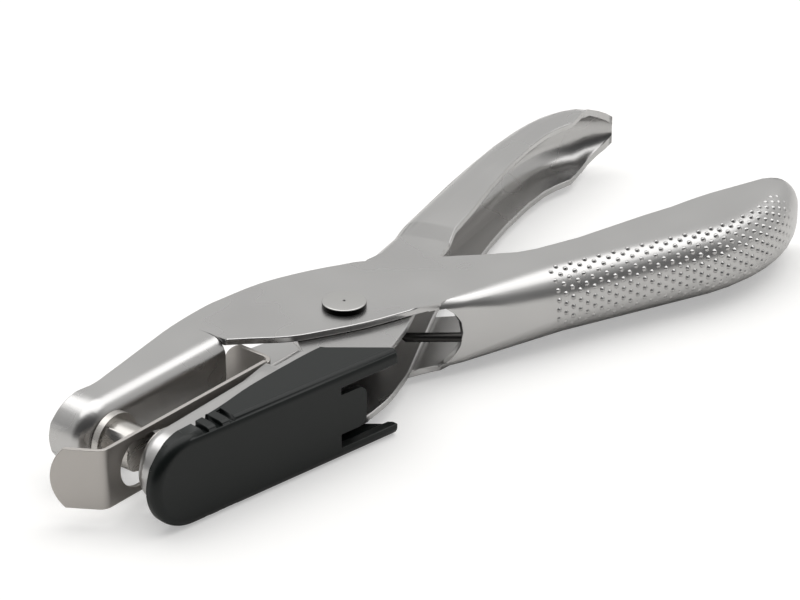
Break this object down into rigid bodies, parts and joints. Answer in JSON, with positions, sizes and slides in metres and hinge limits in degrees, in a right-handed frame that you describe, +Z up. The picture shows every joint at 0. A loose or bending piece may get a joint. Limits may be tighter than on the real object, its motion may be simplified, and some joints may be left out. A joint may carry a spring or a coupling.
{
  "type": "plier hole punch",
  "caption": "Hand-held paper hole punch worked like pliers, with sprung steel levers, a hinged chip catcher and a stripper plate in its throat.",
  "frame": {"origin": "on the pivot axis, on the surface that the lower rivet head and the chip catcher rest on", "axes": "+Z up along the pivot axis, -X towards the jaws, +X towards the handles, +Y towards the punch jaw"},
  "size_m": [0.1355, 0.0507, 0.0132],
  "materials": {
    "plated_steel": "satin nickel plate on pressed sheet steel",
    "tool_steel": "ground and polished hardened steel",
    "spring_wire": "dark oiled spring wire",
    "black_plastic": "fine matt moulded polystyrene"
  },
  "bodies": {
    "die_side": {"die_lever": "plated_steel", "pivot_rivet": "plated_steel", "pivot_sleeve": "plated_steel", "return_spring": "spring_wire", "die_bush": "tool_steel", "stripper_plate": "tool_steel", "stripper_rivets": "tool_steel"},
    "punch_side": {"punch_lever": "plated_steel", "punch_pin": "tool_steel"},
    "catcher": {"chip_catcher": "black_plastic"}
  },
  "joints": [
    {"name": "lever_hinge", "type": "hinge", "parent": "die_side", "child": "punch_side", "pos_m": [0, 0, 0.0066], "axis": [0, 0, 1], "range_deg": [0, 7], "stiffness_Nm_per_rad": 0.4, "springref_deg": -20.05, "deforming": ["return_spring"]},
    {"name": "catcher_hinge", "type": "hinge", "parent": "die_side", "child": "catcher", "pos_m": [-0.0134, -0.0099, 0.0066], "axis": [0, 0, 1], "range_deg": [0, 60]}
  ]
}
